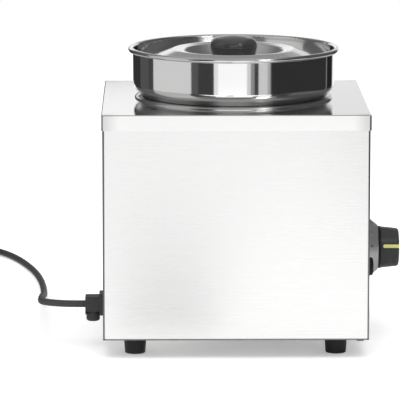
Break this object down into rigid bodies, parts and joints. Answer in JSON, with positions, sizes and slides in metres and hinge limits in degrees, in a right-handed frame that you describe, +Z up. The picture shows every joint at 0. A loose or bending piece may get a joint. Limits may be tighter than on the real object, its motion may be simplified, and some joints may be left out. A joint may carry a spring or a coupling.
{
  "type": "electrically heated insulated food container",
  "caption": "Square steel water-bath food warmer with a lift-out round pot, a knobbed lid, a side thermostat dial, a pilot lamp and a coiled mains cord.",
  "frame": {"origin": "on the floor, in the plane of the four feet, under the middle of the object without its cord", "axes": "+Z up along the pot's axis, +X towards the control dial, -X towards the mains cord"},
  "size_m": [0.5359, 0.6189, 0.3061],
  "materials": {
    "casing_steel": "fine level brush lines, satin",
    "polished_steel": "mirror polished stainless steel",
    "plain_steel": "mill finish sheet",
    "fastener_steel": "zinc plated",
    "brass": "turned brass",
    "copper_bulb": "drawn copper",
    "foot_rubber": "matt moulded rubber",
    "gasket_silicone": "soft silicone",
    "mineral_wool": "matted fibre",
    "heater_sheath": "heat-darkened steel sheath",
    "cutout_metal": "pressed aluminium",
    "ceramic_white": "glazed steatite",
    "phenolic_black": "moulded phenolic, soft gloss",
    "knob_black": "moulded plastic, fine grain",
    "pointer_yellow": "inlaid pale yellow-green paint",
    "bezel_silver": "silver-grey satin plastic",
    "lamp_black": "moulded plastic",
    "lamp_glass": "dark moulded lens, unlit",
    "grip_black": "moulded nylon",
    "lead_brown": "insulated lead",
    "lead_blue": "insulated lead",
    "lead_black": "insulated lead",
    "lead_green": "insulated lead, green and yellow",
    "cord_rubber": "matt rubber sheath",
    "tie_black": "woven hook and loop strap",
    "pin_metal": "nickel plated brass"
  },
  "bodies": {
    "casing": {"base_plate": "plain_steel", "base_screws": "fastener_steel", "bezel_clips": "fastener_steel", "body_wrap": "casing_steel", "bonding_screw": "fastener_steel", "clamp_nut": "fastener_steel", "clamp_stud": "fastener_steel", "collar_ring": "polished_steel", "cord_coil": "cord_rubber", "cord_tie": "tie_black", "dial_bezel": "bezel_silver", "earth_nut": "brass", "earth_stud": "brass", "foot_front_left": "foot_rubber", "foot_front_right": "foot_rubber", "foot_nuts": "fastener_steel", "foot_rear_left": "foot_rubber", "foot_rear_right": "foot_rubber", "foot_screws": "fastener_steel", "grip_body": "grip_black", "grip_clamp": "grip_black", "grip_locknut": "grip_black", "heater_clamp": "plain_steel", "heater_ring": "heater_sheath", "insulation_jacket": "mineral_wool", "lamp_bezel": "lamp_black", "lamp_body": "lamp_black", "lamp_lens": "lamp_glass", "lamp_nut": "fastener_steel", "lead_earth": "lead_green", "lead_heater": "lead_black", "lead_lamp_live": "lead_brown", "lead_lamp_neutral": "lead_blue", "lead_live": "lead_brown", "lead_neutral": "lead_blue", "lead_switched": "lead_black", "plug_body": "cord_rubber", "plug_pins": "pin_metal", "power_cord": "cord_rubber", "sensor_bulb": "copper_bulb", "supply_cord_end": "cord_rubber", "tank_gasket": "gasket_silicone", "tank_nuts": "fastener_steel", "tank_studs": "fastener_steel", "terminal_block": "ceramic_white", "terminal_screws": "fastener_steel", "thermal_cutout": "cutout_metal", "thermostat_body": "ceramic_white", "thermostat_screws": "fastener_steel", "top_cap": "casing_steel", "water_tank": "plain_steel"},
    "pot": {"food_pot": "polished_steel"},
    "lid": {"lid_shell": "polished_steel", "lid_knob": "phenolic_black", "lid_screw": "fastener_steel", "lid_washer": "fastener_steel"},
    "dial": {"control_knob": "knob_black", "knob_pointer": "pointer_yellow", "thermostat_spindle": "fastener_steel"}
  },
  "joints": [
    {"name": "pot_lift", "type": "slide", "parent": "casing", "child": "pot", "axis": [0, 0, 1], "range_m": [0, 0.2]},
    {"name": "lid_lift", "type": "slide", "parent": "pot", "child": "lid", "axis": [0, 0, 1], "range_m": [0, 0.12]},
    {"name": "dial_turn", "type": "hinge", "parent": "casing", "child": "dial", "pos_m": [0.1409, 0, 0.0882], "axis": [-1, 0, 0], "range_deg": [0, 270]}
  ]
}
